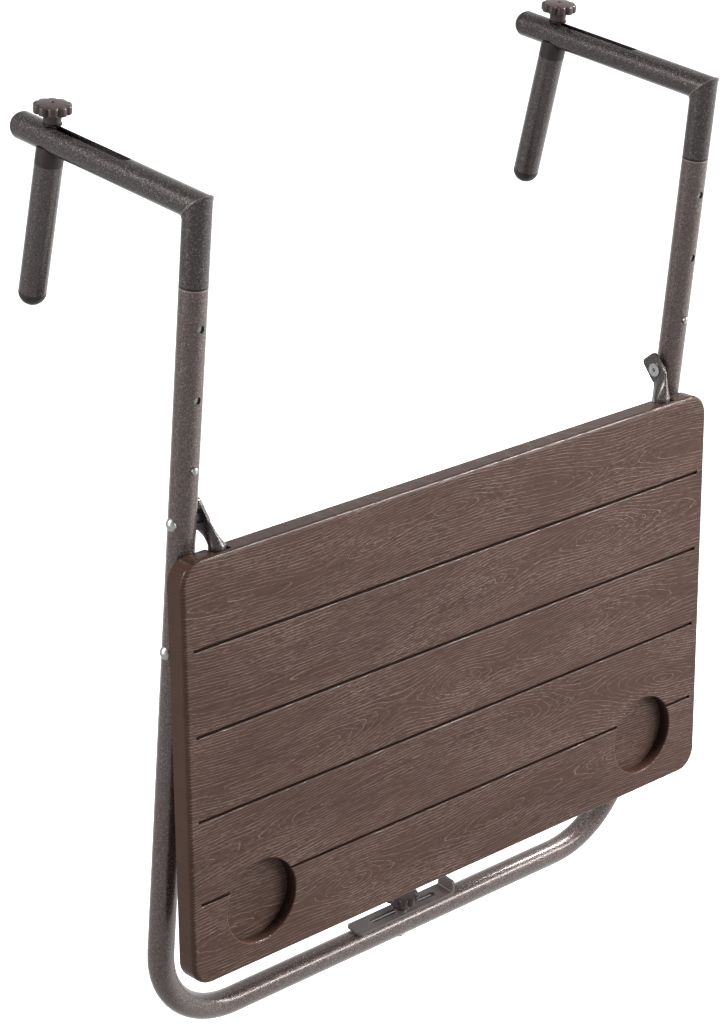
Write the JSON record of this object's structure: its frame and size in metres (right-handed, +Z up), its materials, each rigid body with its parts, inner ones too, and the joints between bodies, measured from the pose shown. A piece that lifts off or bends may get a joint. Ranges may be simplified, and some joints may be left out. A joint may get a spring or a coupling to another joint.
{
  "type": "balcony railing bar table",
  "caption": "Folding bar table that hangs on a balcony rail: tube frame with height-set hooks and sliding clamp posts, hinged plank-style top with cup recesses.",
  "frame": {"origin": "the rail's inner top corner, midway between the two hooks: the hooks' undersides rest on Z = 0 and the legs' rail side lies on Y = 0", "axes": "+X along the rail to the user's right, +Y over the rail and away from the user, +Z up"},
  "size_m": [0.664, 0.3213, 0.8562],
  "materials": {
    "frame_tube": "dark bronze hammertone paint",
    "sub_frame_tube": "dark bronze hammertone paint",
    "brace_tube": "dark bronze hammertone paint",
    "spacer_strip": "dark bronze hammertone paint",
    "strap_strip": "dark bronze paint",
    "panel_plastic": "moulded, embossed wood grain",
    "catch_plastic": "moulded, smooth",
    "rivet_steel": "zinc plated",
    "bush_plastic": "moulded",
    "screw_steel": "zinc plated",
    "bolt_steel": "zinc plated",
    "washer_steel": "zinc plated",
    "knob_plastic": "moulded, fine satin",
    "insert_brass": "turned",
    "hook_tube": "dark bronze hammertone paint",
    "sleeve_steel": "zinc plated",
    "cap_plastic": "moulded, smooth",
    "button_steel": "plated",
    "spring_steel": "spring temper",
    "post_tube": "dark bronze hammertone paint",
    "saddle_plastic": "moulded, satin",
    "plug_plastic": "moulded, smooth",
    "stud_steel": "zinc plated"
  },
  "bodies": {
    "frame": {"u_frame": "frame_tube", "upper_rivets": "rivet_steel", "lower_rivets": "rivet_steel", "upper_spacers": "bush_plastic", "lower_spacers": "bush_plastic", "spacer_stud": "bolt_steel"},
    "panel": {"table_top": "panel_plastic", "panel_frame": "sub_frame_tube", "panel_straps": "strap_strip", "strap_screws": "screw_steel", "brace_catches": "catch_plastic", "catch_screws": "screw_steel"},
    "brace": {"support_brace": "brace_tube"},
    "spacer_pivot": {"spacer_washer": "washer_steel"},
    "wall_spacer": {"spacer_plate": "spacer_strip"},
    "spacer_hand_knob": {"spacer_knob": "knob_plastic", "spacer_knob_insert": "insert_brass"},
    "left_hook_arm": {"left_hook": "hook_tube", "left_hook_sleeve": "sleeve_steel", "left_hook_cap": "cap_plastic", "left_clip_spring": "spring_steel"},
    "left_button": {"left_lock_button": "button_steel"},
    "left_post": {"left_post_tube": "post_tube", "left_post_saddle": "saddle_plastic", "left_post_plug": "plug_plastic", "left_post_stud": "stud_steel", "left_post_washer": "washer_steel"},
    "left_hand_knob": {"left_post_knob": "knob_plastic", "left_knob_insert": "insert_brass"},
    "right_hook_arm": {"right_hook": "hook_tube", "right_hook_sleeve": "sleeve_steel", "right_hook_cap": "cap_plastic", "right_clip_spring": "spring_steel"},
    "right_button": {"right_lock_button": "button_steel"},
    "right_post": {"right_post_tube": "post_tube", "right_post_saddle": "saddle_plastic", "right_post_plug": "plug_plastic", "right_post_stud": "stud_steel", "right_post_washer": "washer_steel"},
    "right_hand_knob": {"right_post_knob": "knob_plastic", "right_knob_insert": "insert_brass"}
  },
  "joints": [
    {"name": "left_hook_height", "type": "slide", "parent": "frame", "child": "left_hook_arm", "axis": [0, 0, 1], "range_m": [0, 0.127], "deforming": ["left_lock_button", "left_clip_spring"]},
    {"name": "left_button_press", "type": "slide", "parent": "left_hook_arm", "child": "left_button", "axis": [0, 1, 0], "range_m": [0, 0.005], "stiffness_N_per_m": 500, "springref_m": -0.003, "deforming": ["left_clip_spring"]},
    {"name": "left_post_slide", "type": "slide", "parent": "left_hook_arm", "child": "left_post", "axis": [0, -1, 0], "range_m": [0, 0.1]},
    {"name": "left_knob_spin", "type": "hinge", "parent": "left_post", "child": "left_hand_knob", "pos_m": [-0.307, 0.1805, 0.035], "axis": [0, 0, 1], "continuous": true},
    {"name": "right_hook_height", "type": "slide", "parent": "frame", "child": "right_hook_arm", "axis": [0, 0, 1], "range_m": [0, 0.127], "deforming": ["right_lock_button", "right_clip_spring"]},
    {"name": "right_button_press", "type": "slide", "parent": "right_hook_arm", "child": "right_button", "axis": [0, 1, 0], "range_m": [0, 0.005], "stiffness_N_per_m": 500, "springref_m": -0.003, "deforming": ["right_clip_spring"]},
    {"name": "right_post_slide", "type": "slide", "parent": "right_hook_arm", "child": "right_post", "axis": [0, -1, 0], "range_m": [0, 0.1]},
    {"name": "right_knob_spin", "type": "hinge", "parent": "right_post", "child": "right_hand_knob", "pos_m": [0.307, 0.1805, 0.035], "axis": [0, 0, 1], "continuous": true},
    {"name": "panel_fold", "type": "hinge", "parent": "frame", "child": "panel", "pos_m": [0, -0.0125, -0.2695], "axis": [-1, 0, 0], "range_deg": [0, 83.4]},
    {"name": "brace_swing", "type": "hinge", "parent": "frame", "child": "brace", "pos_m": [0, -0.0125, -0.3925], "axis": [-1, 0, 0], "range_deg": [0, 134.6]},
    {"name": "spacer_turn", "type": "hinge", "parent": "frame", "child": "spacer_pivot", "pos_m": [0, -0.0125, -0.779], "axis": [0, 0, 1], "range_deg": [-180, 180]},
    {"name": "spacer_slide", "type": "slide", "parent": "spacer_pivot", "child": "wall_spacer", "axis": [1, 0, 0], "range_m": [-0.042, 0.036]},
    {"name": "spacer_knob_spin", "type": "hinge", "parent": "frame", "child": "spacer_hand_knob", "pos_m": [0, -0.0125, -0.768], "axis": [0, 0, 1], "continuous": true}
  ],
  "couplings": [
    {"joint": "brace_swing", "follows": "panel_fold", "ratio": 1.6133}
  ]
}
